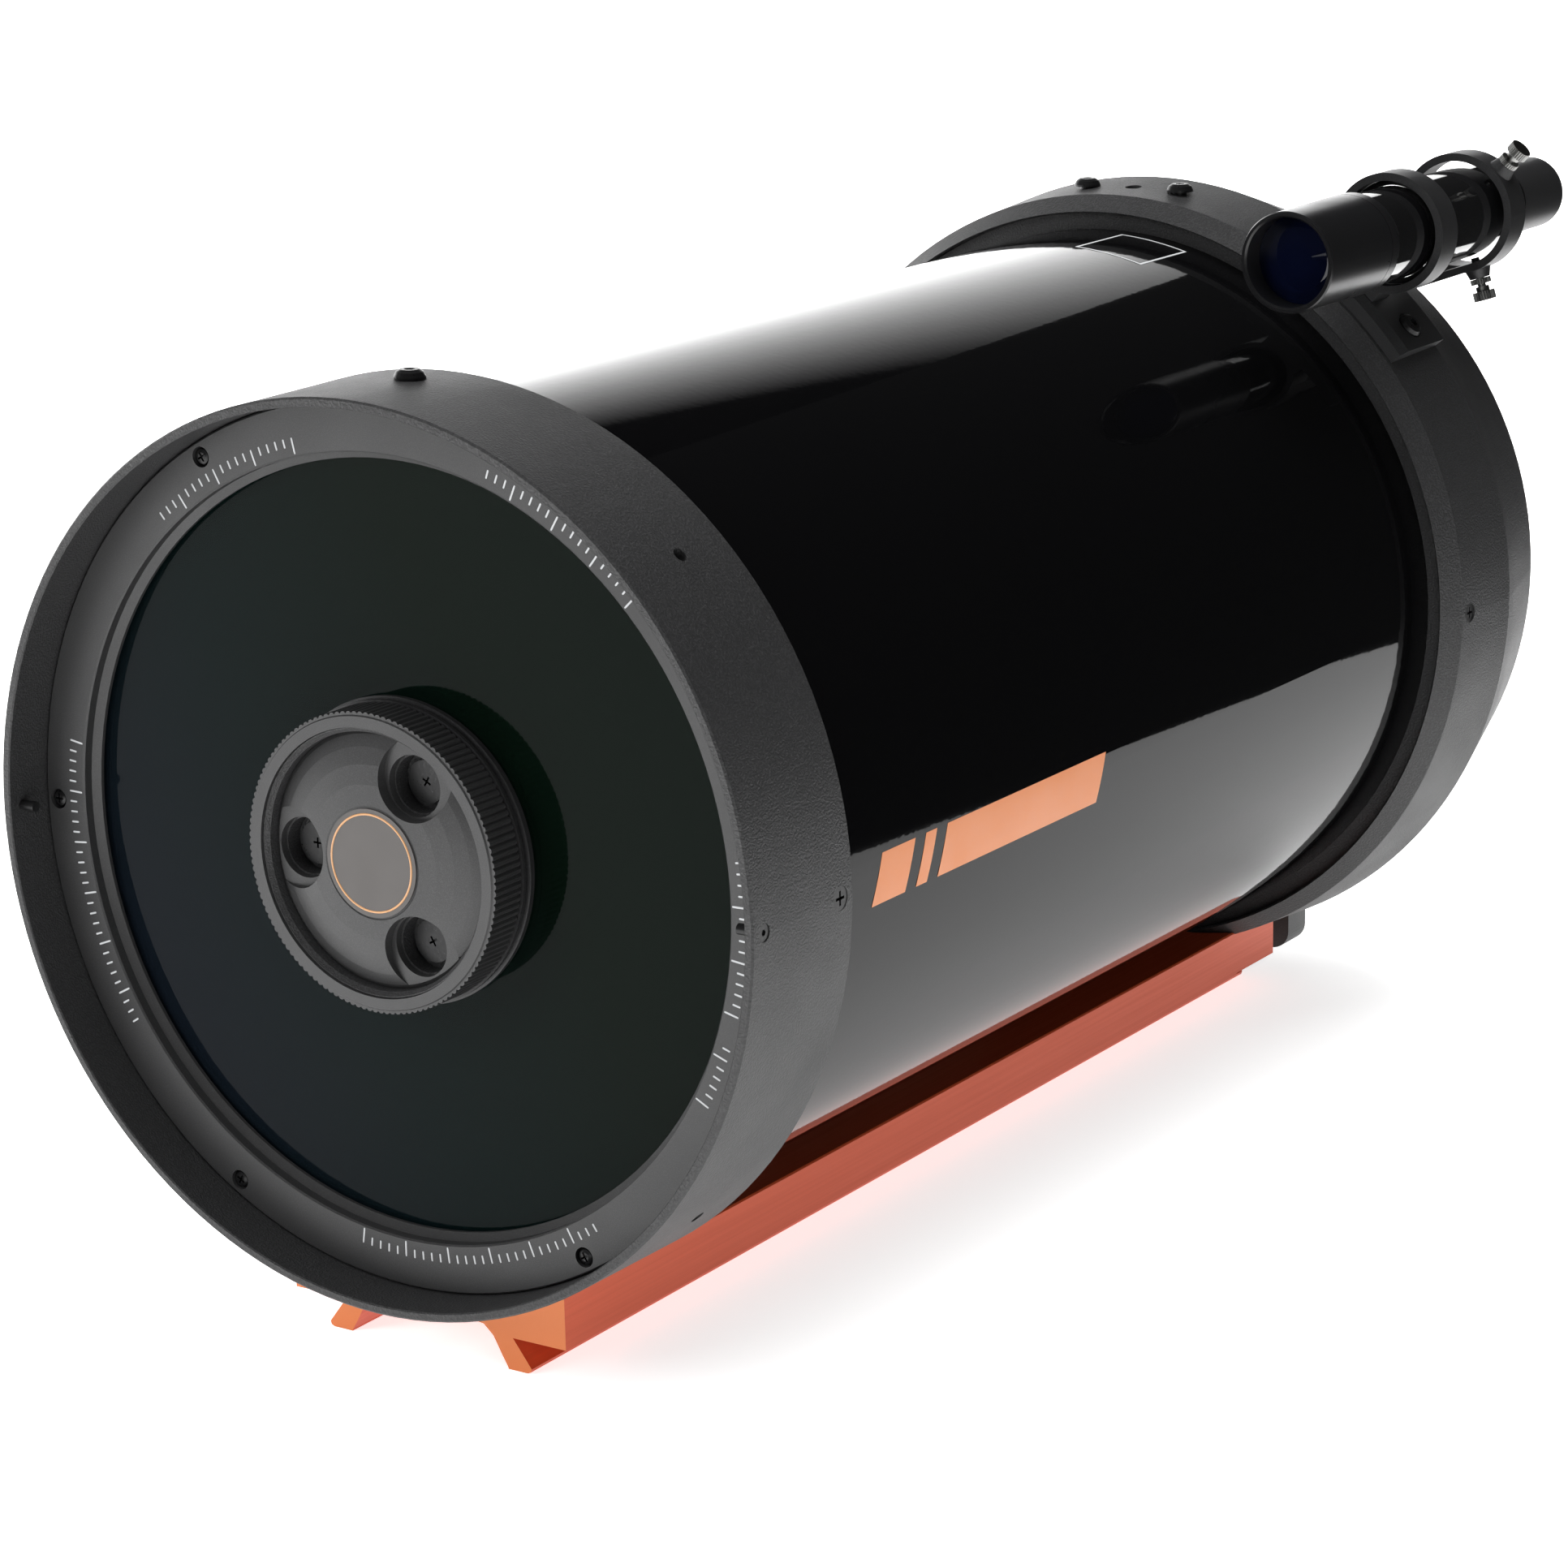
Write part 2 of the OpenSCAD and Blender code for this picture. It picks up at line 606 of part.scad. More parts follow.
module slip_ring() {
    color("#38383a") on_axis() difference() {
        union() {
            translate([0, 0, port_y + 3]) knurl(30.2, 0.6, 90, 10);
            translate([0, 0, port_y + 12.9]) cylinder(r1 = 29.1, r2 = 27.3, h = 2.1);
        }
        translate([0, 0, port_y + 2]) cylinder(r = 25.4 + run_fit, h = 9.9);
        translate([0, 0, port_y + 2]) cylinder(r = 21 + run_fit, h = 30);
    }
}

module visual_back() {
    color("#b9babc") on_axis() difference() {
        rotate_extrude() polygon([[back_bore, back_y + 1.1], [25.2, back_y + 1.1], [25.2, back_y + 3.7],
            [21, back_y + 3.8], [21, back_y + 16], [19.4, back_y + 17.5], [19.4, back_end - 0.8],
            [18.6, back_end], [back_bore + 0.6, back_end], [back_bore, back_end - 0.6]]);
        outward(35, 14, stud_y) cylinder(r = 2 + run_fit, h = 10);
    }
}

module eyepiece_stud() {
    color("#a7a8aa") on_axis() outward(35, back_bore + 0.15, stud_y) cylinder(r = 2, h = 11.8);
}

module eyepiece_head() {
    color("#1c1c1d") on_axis() outward(35, back_bore + 5.4, stud_y) difference() {
        union() {
            cylinder(r = 3.4, h = 2.1);
            translate([0, 0, 2]) knurl(5.2, 0.45, 30, 6.6);
        }
        translate([0, 0, -1]) cylinder(r = 2 + run_fit, h = 7.7);
    }
}

// ---- Dovetail bar ----

// One half of the bar's section, from the channel's roof out to the top
bar_half_section = [[15, seat_flat - web_t], [channel_half_w - 8.7, foot_h + 2.4],
    [channel_half_w - 5.3, foot_h - 0.6], [channel_half_w - 2.1, foot_h - 6.4], [channel_half_w - 0.3, 0.8],
    [channel_half_w, 0], [foot_half_w - 1.5, 0], [foot_half_w - 0.4, 0.5], [foot_half_w, 1.6],
    [neck_half_w, foot_h], [bar_half_w, foot_h], [bar_half_w, bar_top - 0.5], [bar_half_w - 0.5, bar_top]];

module bar_section() {
    n = len(bar_half_section);
    polygon(concat(bar_half_section, [for (i = [n - 1:-1:0]) [-bar_half_section[i][0],
        bar_half_section[i][1]]]));
}

relief_len = 29;

// The bolts that hold the bar: sideways place and station
function bar_bolt_spots() = [for (s = [-1, 1]) for (y = [front_bolt_y, rear_bolt_y]) [s * bolt_x, y]];

module dovetail_bar() {
    color("#b4583a") difference() {
        translate([0, bar_rear - bar_mid, 0]) rotate([90, 0, 0]) linear_extrude(bar_rear - bar_front)
            bar_section();
        on_axis() translate([0, 0, -1]) cylinder(r = cell_rear_r + 0.05, h = front_len + 2);
        intersection() {
            on_axis() rotate_extrude() polygon([[0, rear_start - 1], [lip_r - 5, rear_start - 1],
                [lip_r + 0.05, lip_end - 0.3], [band_r + 0.05, band_end], [0, band_end]]);
            translate([-bar_half_w - 1, 0, seat_flat - 0.02]) cube([2 * bar_half_w + 2, bar_rear, axis_h]);
        }
        for (s = [-1, 1]) translate([s * (neck_half_w + bar_half_w)
            / 2, bar_rear - bar_mid - relief_len / 2, foot_h])
            cube([bar_half_w - neck_half_w + 0.01, relief_len + 0.01, 1.2], center = true);
        for (p = bar_bolt_spots()) translate([p[0], p[1] - bar_mid, 0]) cylinder(r = 3 + press, h = axis_h);
    }
}

module bar_bolts() {
    color("#9b9b9a") for (p = bar_bolt_spots()) translate([p[0], p[1] - bar_mid, seat_flat - web_t - 0.05])
        rotate([180, 0, 0]) difference() {
            union() {
                cylinder(r = 5, h = 3);
                translate([0, 0, -9]) cylinder(r = 3, h = 9.1);
            }
            translate([0, 0, 1]) cylinder(r = 2.3, h = 3, $fn = 6);
        }
}

// ---- Finder ----

foot_t = 4;
foot_half_angle = 12.9;
foot_screw_spread = 9.4;
foot_screw_y = lip_end + band_len / 2 + 1;

module finder_bracket() {
    color("#2c2c2d") difference() {
        union() {
            on_axis() intersection() {
                rotate_extrude() polygon([[lip_r + press, lip_end + 1.2],
                    [band_r + foot_t - 1.9, lip_end + 1.2],
                    [band_r + foot_t, lip_end + 5], [band_r + foot_t, band_end + 0.4],
                    [band_r + press, band_end + 0.4]]);
                clock(finder_angle) linear_extrude(band_end + 10) polygon([[0, 0], for (s = [-1, 1])
                    2 * band_r * [cos(foot_half_angle), s * sin(foot_half_angle)]]);
            }
            on_axis() clock(finder_angle) translate([band_r + foot_t - 2.2, -4, lip_end + 6])
                cube([finder_d - finder_r - band_r - foot_t, 8, ring2_y + ring_w - lip_end - 6]);
            on_finder() {
                translate([0, 0, ring1_y]) cylinder(r = ring1_r, h = ring_w);
                translate([0, 0, ring2_y]) cylinder(r = ring2_r, h = ring_w);
                for (a = strut_angles) clock(a) translate([finder_r + 2.2, -3, ring1_y + 2])
                    cube([2.6, 6, ring2_y - ring1_y + ring_w - 4]);
                for (a = aim_angles) outward(a, finder_r + 4, aim_y) cylinder(r1 = 5, r2 = 3.6, h = 4.3);
            }
            on_axis() clock(finder_angle) translate([finder_d - finder_r - 7.4, -11, ring1_y])
                cube([7.6, 22, ring_w]);
        }
        on_finder() {
            translate([0, 0, ring1_y - 30]) cylinder(r = finder_r + 2.1, h = 60);
            translate([0, 0, ring1_y + 20]) cylinder(r = finder_r + 2.5, h = 80);
            for (a = aim_angles) outward(a, finder_r, aim_y) cylinder(r = 1.5 + run_fit, h = 20);
        }
        on_axis() rotate_extrude() polygon([[0, rear_start], [lip_r + press, rear_start],
            [lip_r + press, lip_end], [band_r + press, band_end], [taper_r, taper_end + 10],
                [0, taper_end + 10]]);
        on_axis() for (s = [-1, 1]) outward(finder_angle + s * foot_screw_spread, band_r - 5, foot_screw_y) {
            cylinder(r = 2.5 + press, h = 40);
            translate([0, 0, 5 + foot_t - 0.5]) cylinder(r = 5.2, h = 3);
        }
    }
}

module finder_bracket_screws() {
    color("#3a3a3b") on_axis() for (s = [-1, 1])
        outward(finder_angle + s * foot_screw_spread, band_r + foot_t - 0.45, foot_screw_y)
            button_screw(4.6, 2.6, 2.5, foot_t + 7, 1.6);
}

module finder_o_ring() {
    color("#121212") on_finder() translate([0, 0, ring1_y + 5]) rotate_extrude()
        translate([finder_r + 1.05, 0]) circle(r = 0.97, $fn = 32);
}

module finder_tube() {
    color("#0c0c0d") on_finder() rotate_extrude() polygon([[finder_r - 1.5, lock_y - 24],
        [finder_r - 0.5, lock_y - 24],
        [finder_r - 0.5, lock_y + 7.4], [finder_r, lock_y + 7.4], [finder_r, ring2_y + 18],
        [finder_r - 3.4, ring2_y + 25], [finder_r - 3.4, ring2_y + 32], [finder_r - 5, ring2_y + 32],
        [finder_r - 5, ring2_y + 24], [finder_r - 1.5, ring2_y + 17]]);
}

module finder_bell() {
    color("#2e2e2f") on_finder() rotate_extrude() polygon([[finder_r - 1, bell_y + 0.7],
        [finder_r - 0.4, bell_y],
        [finder_r + 0.6, bell_y], [finder_r + 1, bell_y + 0.8], [finder_r + 1.3, bell_y + bell_len],
        [finder_r - 0.5 + run_fit, bell_y + bell_len], [finder_r - 0.5 + run_fit, lock_y - 25.5],
        [finder_r - 1, lock_y - 25.5]]);
}

module finder_lens() {
    color("#23304a", 0.6) on_finder() rotate_extrude() polygon([[0, bell_y + 7], [6, bell_y + 7.2],
        [11, bell_y + 8.2], [finder_r - 1 - run_fit, bell_y + 9.8],
        [finder_r - 1 - run_fit, bell_y + 13.5], [0, bell_y + 13.5]]);
}

module finder_lock_ring() {
    color("#2e2e2f") on_finder() rotate_extrude() polygon([[finder_r - 0.5 + run_fit, lock_y],
        [finder_r + 1.3, lock_y], [finder_r + 1.3, lock_y + 5.2], [finder_r + 0.5, lock_y + 6.9],
        [finder_r - 0.5 + run_fit, lock_y + 6.9]]);
}

module finder_eyepiece() {
    color("#141415") on_finder() rotate_extrude() polygon([[9.2, ring2_y + 29.5],
        [finder_r - 5 - press, ring2_y + 29.5],
        [finder_r - 5 - press, ring2_y + 32.03], [finder_r - 3.3, ring2_y + 32.03],
            [finder_r - 3.3, eyepiece_end - 3],
        [finder_r - 4.3, eyepiece_end - 0.9], [finder_r - 6, eyepiece_end], [8, eyepiece_end],
        [6.6, eyepiece_end - 2], [6.6, eyepiece_end - 5], [7.6, eyepiece_end - 5],
            [7.6, eyepiece_end - 11], [9.2, eyepiece_end - 11]]);
}

module finder_eye_lens() {
    color("#23304a", 0.6) on_finder() rotate_extrude() polygon([[0, eyepiece_end - 10.5],
        [7.6 - press, eyepiece_end - 9.3],
        [7.6 - press, eyepiece_end - 5.1], [6, eyepiece_end - 5.1], [3, eyepiece_end - 4.6],
            [0, eyepiece_end - 4.4]]);
}

module finder_reticle() {
    color("#1b1b1c") on_finder() translate([0, 0, ring2_y + 26]) {
        tube_ring(finder_r - 5 - press, finder_r - 7, 0, 2.5);
        for (a = [0, 90]) rotate([0, 0, a]) translate([-finder_r + 6.4, -0.1, 1])
            cube([2 * finder_r - 12.8, 0.2, 0.2]);
    }
}

module aim_stud(angle) {
    color("#a7a8aa") on_finder() outward(angle, finder_r + 0.9, aim_y) cylinder(r = 1.5, h = 14.6);
}

module aim_head(angle) {
    color("#9a9b9c") on_finder() outward(angle, finder_r + 11.4, aim_y) difference() {
        union() {
            cylinder(r = 2.4, h = 1.9);
            translate([0, 0, 1.8]) knurl(4, 0.35, 30, 3.2);
        }
        translate([0, 0, -1]) cylinder(r = 1.5 + run_fit, h = 5.2);
    }
}

module aim_nut(angle) {
    color("#9a9b9c") on_finder() outward(angle, finder_r + 8.5, aim_y) difference() {
        knurl(3.7, 0.35, 28, 1.9);
        translate([0, 0, -1]) cylinder(r = 1.5 + run_fit, h = 5);
    }
}

front_cell();
cap_pins();
plug_screws();
centring_screws();
front_cell_screws();
corrector_plate();
corrector_gaskets();
corrector_ring();
corrector_ring_screws();
secondary_gasket();
secondary_housing();
secondary_baffle();
secondary_ring();
secondary_cell();
secondary_cover();
badge_disc();
collimation_screw(collimation_angles[0]);  // collimation_screw_1
collimation_screw(collimation_angles[1]);  // collimation_screw_2
collimation_screw(collimation_angles[2]);  // collimation_screw_3
secondary_plate();
secondary_mirror();
main_tube();
rear_cell();
rear_cell_screws();
rear_grip();
grip_screws();
primary_mirror();
mirror_carrier();
mirror_lock_ring();
baffle_tube();
focus_plate();
focus_plate_screws();
focus_screw();
focus_knob();
rear_port();
slip_ring();
visual_back();
eyepiece_stud();
eyepiece_head();
dovetail_bar();
bar_bolts();
finder_bracket();
finder_bracket_screws();
finder_o_ring();
finder_tube();
finder_bell();
finder_lens();
finder_lock_ring();
finder_eyepiece();
finder_eye_lens();
finder_reticle();
aim_stud(aim_angles[0]);  // aim_stud_1
aim_stud(aim_angles[1]);  // aim_stud_2
aim_stud(aim_angles[2]);  // aim_stud_3
aim_head(aim_angles[0]);  // aim_head_1
aim_head(aim_angles[1]);  // aim_head_2
aim_head(aim_angles[2]);  // aim_head_3
aim_nut(aim_angles[0]);  // aim_nut_1
aim_nut(aim_angles[1]);  // aim_nut_2
aim_nut(aim_angles[2]);  // aim_nut_3
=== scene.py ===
import bpy, bmesh, json, math
from mathutils import Matrix, Vector


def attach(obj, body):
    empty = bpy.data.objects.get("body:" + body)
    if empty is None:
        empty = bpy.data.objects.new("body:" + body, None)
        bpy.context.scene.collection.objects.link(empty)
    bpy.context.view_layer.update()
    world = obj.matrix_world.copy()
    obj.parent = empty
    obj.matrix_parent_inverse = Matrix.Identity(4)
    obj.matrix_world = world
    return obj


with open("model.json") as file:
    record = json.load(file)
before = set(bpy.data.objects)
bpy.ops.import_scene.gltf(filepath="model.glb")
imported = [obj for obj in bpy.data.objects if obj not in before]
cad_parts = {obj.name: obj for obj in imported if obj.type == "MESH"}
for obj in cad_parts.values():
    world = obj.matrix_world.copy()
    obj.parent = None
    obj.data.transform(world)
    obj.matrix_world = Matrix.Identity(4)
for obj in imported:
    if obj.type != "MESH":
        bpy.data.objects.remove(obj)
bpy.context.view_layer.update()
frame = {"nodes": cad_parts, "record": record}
nodes = frame["nodes"]
print("frame loaded", len(nodes), "nodes")

# the optical axis runs along Y at this height, and the front rim stands at this Y
axisHeight = 0.1561
rimY = -0.24905


# ---------- small helpers ----------

def clearSelection():
    if bpy.context.object and bpy.context.object.mode != "OBJECT":
        bpy.ops.object.mode_set(mode="OBJECT")
    bpy.ops.object.select_all(action="DESELECT")


def applyPlace(piece):
    clearSelection()
    piece.select_set(True)
    bpy.context.view_layer.objects.active = piece
    bpy.ops.object.transform_apply(location=True, rotation=True, scale=True)
    return piece


def applyAll(piece):
    clearSelection()
    piece.select_set(True)
    bpy.context.view_layer.objects.active = piece
    for modifier in list(piece.modifiers):
        bpy.ops.object.modifier_apply(modifier=modifier.name)
    return piece


def finishPiece(piece, name, body, material, angle=40):
    piece.name = name
    piece.data.name = name
    applyPlace(piece)
    bpy.ops.object.shade_smooth_by_angle(angle=math.radians(angle))
    piece.data.materials.clear()
    piece.data.materials.append(material)
    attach(piece, body)
    return piece


# ---------- materials ----------

def startMaterial(name, look):
    material = bpy.data.materials.new(name)
    material.use_nodes = True
    tree = material.node_tree
    shader = tree.nodes["Principled BSDF"]
    shader.inputs["Base Color"].default_value = (*look["colour"], 1)
    shader.inputs["Roughness"].default_value = look.get("rough", 0.5)
    shader.inputs["Metallic"].default_value = look.get("metal", 0)
    shader.inputs["Coat Weight"].default_value = look.get("coat", 0)
    shader.inputs["Coat Roughness"].default_value = look.get("coatRough", 0.1)
    shader.inputs["Specular IOR Level"].default_value = look.get("specular", 0.5)
    place = tree.nodes.new("ShaderNodeTexCoord")
    return material, tree, shader, place


def noise(tree, place, scale, detail=3, rough=0.55, stretch=None):
    texture = tree.nodes.new("ShaderNodeTexNoise")
    texture.inputs["Scale"].default_value = scale
    texture.inputs["Detail"].default_value = detail
    texture.inputs["Roughness"].default_value = rough
    source = place.outputs["Object"]
    if stretch:
        mapping = tree.nodes.new("ShaderNodeMapping")
        mapping.inputs["Scale"].default_value = stretch
        tree.links.new(source, mapping.inputs["Vector"])
        source = mapping.outputs["Vector"]
    tree.links.new(source, texture.inputs["Vector"])
    return texture.outputs["Fac"]


def mapTo(tree, value, low, high, fromLow=0.3, fromHigh=0.7):
    node = tree.nodes.new("ShaderNodeMapRange")
    node.inputs["From Min"].default_value = fromLow
    node.inputs["From Max"].default_value = fromHigh
    node.inputs["To Min"].default_value = low
    node.inputs["To Max"].default_value = high
    tree.links.new(value, node.inputs["Value"])
    return node.outputs["Result"]


def mixColour(tree, value, first, second):
    node = tree.nodes.new("ShaderNodeMix")
    node.data_type = "RGBA"
    node.inputs["A"].default_value = (*first, 1)
    node.inputs["B"].default_value = (*second, 1)
    tree.links.new(value, node.inputs["Factor"])
    return node.outputs["Result"]


def bump(tree, shader, height, distance, strength=1.0, coat=False):
    node = tree.nodes.new("ShaderNodeBump")
    node.inputs["Strength"].default_value = strength
    node.inputs["Distance"].default_value = distance
    tree.links.new(height, node.inputs["Height"])
    tree.links.new(node.outputs["Normal"], shader.inputs["Normal"])
    if coat:
        tree.links.new(node.outputs["Normal"], shader.inputs["Coat Normal"])
    return node


# patches per metre, their swing in roughness, and how much paler the grain's tops are
powder = {"patches": 22, "swing": 0.06, "paler": 1.9}


# powder coat: fine pebbled grain over soft patches of sheen
def powderCoat(name, look):
    material, tree, shader, place = startMaterial(name, look)
    grain = noise(tree, place, look["grain"], 2, 0.5)
    patches = noise(tree, place, powder["patches"], 4)
    bump(tree, shader, grain, look["depth"])
    sheen = mapTo(tree, patches, look["rough"] - powder["swing"], look["rough"] + powder["swing"])
    tree.links.new(sheen, shader.inputs["Roughness"])
    tint = [c * powder["paler"] for c in look["colour"]]
    tree.links.new(mixColour(tree, mapTo(tree, grain, 0, 1, 0.45, 0.75), look["colour"], tint),
                   shader.inputs["Base Color"])
    return material


# gloss paint with a slight ripple, and faint dust that dulls it
def glossPaint(name, look):
    material, tree, shader, place = startMaterial(name, look)
    ripple = noise(tree, place, look["ripple"], 1, 0.4)
    bump(tree, shader, ripple, look["depth"], coat=True)
    dust = noise(tree, place, 260, 6, 0.7)
    outside = mapTo(tree, dust, look["rough"], look["rough"] + 0.05, 0.55, 0.8)
    if "innerRadius" not in look:
        tree.links.new(outside, shader.inputs["Roughness"])
        return material
    # the inside wall is flat black
    centred = tree.nodes.new("ShaderNodeMapping")
    centred.inputs["Location"].default_value = (0, 0, -axisHeight)
    centred.inputs["Scale"].default_value = (1, 0, 1)
    tree.links.new(place.outputs["Object"], centred.inputs["Vector"])
    reach = tree.nodes.new("ShaderNodeVectorMath")
    reach.operation = "LENGTH"
    tree.links.new(centred.outputs["Vector"], reach.inputs[0])
    wallFrom = look["innerRadius"]
    inside = mapTo(tree, reach.outputs["Value"], 1, 0, wallFrom, wallFrom + 0.0003)
    flat = tree.nodes.new("ShaderNodeMix")
    flat.inputs["B"].default_value = 0.85
    tree.links.new(inside, flat.inputs["Factor"])
    tree.links.new(outside, flat.inputs["A"])
    tree.links.new(flat.outputs["Result"], shader.inputs["Roughness"])
    return material


# turned or cast metal, with streaks along the stretch and small dark stains
def workedMetal(name, look):
    material, tree, shader, place = startMaterial(name, look)
    streaks = noise(tree, place, look["grain"], 4, 0.6, look["stretch"])
    stains = noise(tree, place, 60, 5, 0.6)
    bump(tree, shader, streaks, look["depth"])
    sheen = mapTo(tree, streaks, look["rough"] - 0.08, look["rough"] + 0.1)
    tree.links.new(sheen, shader.inputs["Roughness"])
    dark = [c * 0.82 for c in look["colour"]]
    tree.links.new(mixColour(tree, mapTo(tree, stains, 0, 1, 0.35, 0.75), look["colour"], dark),
                   shader.inputs["Base Color"])
    return material


# the bar's dye is deep on its skin and pale on the sawn ends
def anodisedBar(name, look):
    material, tree, shader, place = startMaterial(name, look)
    streaks = noise(tree, place, 900, 3, 0.6, (1, 0.012, 1))
    grain = noise(tree, place, 2600, 2, 0.5)
    split = tree.nodes.new("ShaderNodeSeparateXYZ")
    tree.links.new(place.outputs["Normal"], split.inputs[0])
    turned = tree.nodes.new("ShaderNodeMath")
    turned.operation = "ABSOLUTE"
    tree.links.new(split.outputs["Y"], turned.inputs[0])
    facing = mapTo(tree, turned.outputs[0], 0, 1, 0.75, 0.95)
    skin = tree.nodes.new("ShaderNodeMix")
    skin.data_type = "RGBA"
    skin.inputs["B"].default_value = (*look["endColour"], 1)
    darker = [c * 0.9 for c in look["colour"]]
    tree.links.new(mixColour(tree, mapTo(tree, streaks, 0, 1), look["colour"], darker), skin.inputs["A"])
    tree.links.new(facing, skin.inputs["Factor"])
    tree.links.new(skin.outputs["Result"], shader.inputs["Base Color"])
    sheen = mapTo(tree, streaks, look["rough"] - 0.05, look["rough"] + 0.07)
    tree.links.new(sheen, shader.inputs["Roughness"])
    bump(tree, shader, grain, look["depth"])
    return material


def plainFinish(name, look):
    material, tree, shader, place = startMaterial(name, look)
    grain = noise(tree, place, look.get("grain", 1500), 3, 0.6)
    bump(tree, shader, grain, look.get("depth", 0.00002))
    tree.links.new(mapTo(tree, noise(tree, place, 90, 4), look["rough"] - 0.05, look["rough"] + 0.08),
                   shader.inputs["Roughness"])
    return material


# coated glass: its colour runs along a ramp of tints across it; on the corrector the shift from violet on
# one side to green on the other is the coating's own tint with a painted reflection in it
def coatedGlass(name, look):
    material, tree, shader, place = startMaterial(name, look)
    shader.inputs["Transmission Weight"].default_value = look["clear"]
    shader.inputs["IOR"].default_value = look["ior"]
    slope = tree.nodes.new("ShaderNodeMapping")
    slope.inputs["Location"].default_value = (0, 0, -look["centre"])
    slope.inputs["Rotation"].default_value = (0, look["turn"], 0)
    tree.links.new(place.outputs["Object"], slope.inputs["Vector"])
    split = tree.nodes.new("ShaderNodeSeparateXYZ")
    tree.links.new(slope.outputs["Vector"], split.inputs[0])
    across = mapTo(tree, split.outputs["X"], 0, 1, -look["reach"], look["reach"])
    # this ramp paints the colour change across the glass, which on the corrector is partly a painted
    # reflection
    ramp = tree.nodes.new("ShaderNodeValToRGB")
    ramp.color_ramp.elements[0].color = (*look["tints"][0], 1)
    ramp.color_ramp.elements[1].color = (*look["tints"][-1], 1)
    for i, tint in enumerate(look["tints"][1:-1]):
        stop = ramp.color_ramp.elements.new((i + 1) / (len(look["tints"]) - 1))
        stop.color = (*tint, 1)
    tree.links.new(across, ramp.inputs["Fac"])
    tree.links.new(ramp.outputs["Color"], shader.inputs["Base Color"])
    return material


# the corrector's colour from the violet side to the green one: the coating's tint with a painted reflection
# in it
correctorTintAndReflection = [(0.014, 0.015, 0.034), (0.011, 0.017, 0.026), (0.006, 0.016, 0.016), (0.004, 0.012, 0.007)]

finishes = {
    "cell_paint": powderCoat("cellPaint", {"colour": (0.02, 0.02, 0.0205), "rough": 0.5, "grain": 1500,
                                           "depth": 0.0003, "specular": 0.45}),
    "tube_paint": glossPaint("tubePaint", {"colour": (0.002, 0.002, 0.0022), "rough": 0.05, "ripple": 420,
                                           "depth": 0.000007, "coat": 0.22, "coatRough": 0.012,
                                           "specular": 0.06, "innerRadius": 0.1259}),
    "finder_paint": glossPaint("finderPaint", {"colour": (0.003, 0.003, 0.0033), "rough": 0.08,
                                               "ripple": 700, "depth": 0.000004, "coat": 0.8,
                                               "coatRough": 0.03}),
    "ring_paint": powderCoat("ringPaint", {"colour": (0.022, 0.022, 0.0224), "rough": 0.43, "grain": 3200,
                                           "depth": 0.00004}),
    "finder_satin": powderCoat("finderSatin", {"colour": (0.006, 0.006, 0.0065), "rough": 0.29,
                                               "grain": 3000, "depth": 0.000006}),
    "bar_anodise": anodisedBar("barAnodise", {"colour": (0.58, 0.08, 0.022), "endColour": (0.6, 0.17, 0.05),
                                              "rough": 0.38, "metal": 0.3, "depth": 0.00001}),
    "plate_anodise": workedMetal("plateMetal", {"colour": (0.42, 0.43, 0.44), "rough": 0.4, "metal": 1,
                                                "grain": 700, "stretch": (1, 0.2, 1), "depth": 0.00001}),
    "visual_plate": workedMetal("visualPlate", {"colour": (0.6, 0.61, 0.62), "rough": 0.25, "metal": 1,
                                                "grain": 900, "stretch": (1, 1, 0.05), "depth": 0.000006}),
    "screw_steel": workedMetal("screwSteel", {"colour": (0.52, 0.51, 0.49), "rough": 0.28, "metal": 1,
                                              "grain": 1400, "stretch": (1, 1, 1), "depth": 0.00001}),
    "black_steel": workedMetal("blackSteel", {"colour": (0.012, 0.012, 0.0125), "rough": 0.34, "metal": 0.4,
                                              "grain": 1400, "stretch": (1, 1, 1), "depth": 0.00001}),
    "thumb_steel": workedMetal("thumbSteel", {"colour": (0.34, 0.34, 0.33), "rough": 0.34, "metal": 1,
                                              "grain": 1600, "stretch": (1, 1, 1), "depth": 0.000015}),
    "brass_screw": workedMetal("focusBrass", {"colour": (0.62, 0.42, 0.16), "rough": 0.3, "metal": 1,
                                              "grain": 900, "stretch": (1, 0.1, 1), "depth": 0.00001}),
    "black_plastic": powderCoat("blackPlastic", {"colour": (0.014, 0.014, 0.0145), "rough": 0.42,
                                                 "grain": 2400, "depth": 0.00006}),
    "badge": plainFinish("badgeGrey", {"colour": (0.055, 0.049, 0.046), "rough": 0.35, "grain": 2200,
                                       "depth": 0.00001}),
    "gasket": plainFinish("gasketCork", {"colour": (0.012, 0.012, 0.012), "rough": 0.8, "grain": 900,
                                         "depth": 0.0001}),
    "corrector_glass": coatedGlass("correctorGlass", {"colour": (0.02, 0.03, 0.04), "rough": 0.01,
                                                      "clear": 0.72, "ior": 1.13, "centre": axisHeight,
                                                      "turn": 0.5, "reach": 0.12, "tints": correctorTintAndReflection}),
    "lens_glass": coatedGlass("lensGlass", {"colour": (0.01, 0.02, 0.1), "rough": 0.01, "clear": 0.5,
                                            "ior": 1.5, "centre": 0.287, "turn": 0, "reach": 0.15,
                                            "tints": [(0.0015, 0.002, 0.004), (0.003, 0.005, 0.022)]}),
    "mirror_coat": plainFinish("mirrorCoat", {"colour": (0.86, 0.88, 0.9), "rough": 0.06, "metal": 1,
                                              "depth": 0.000001}),
}

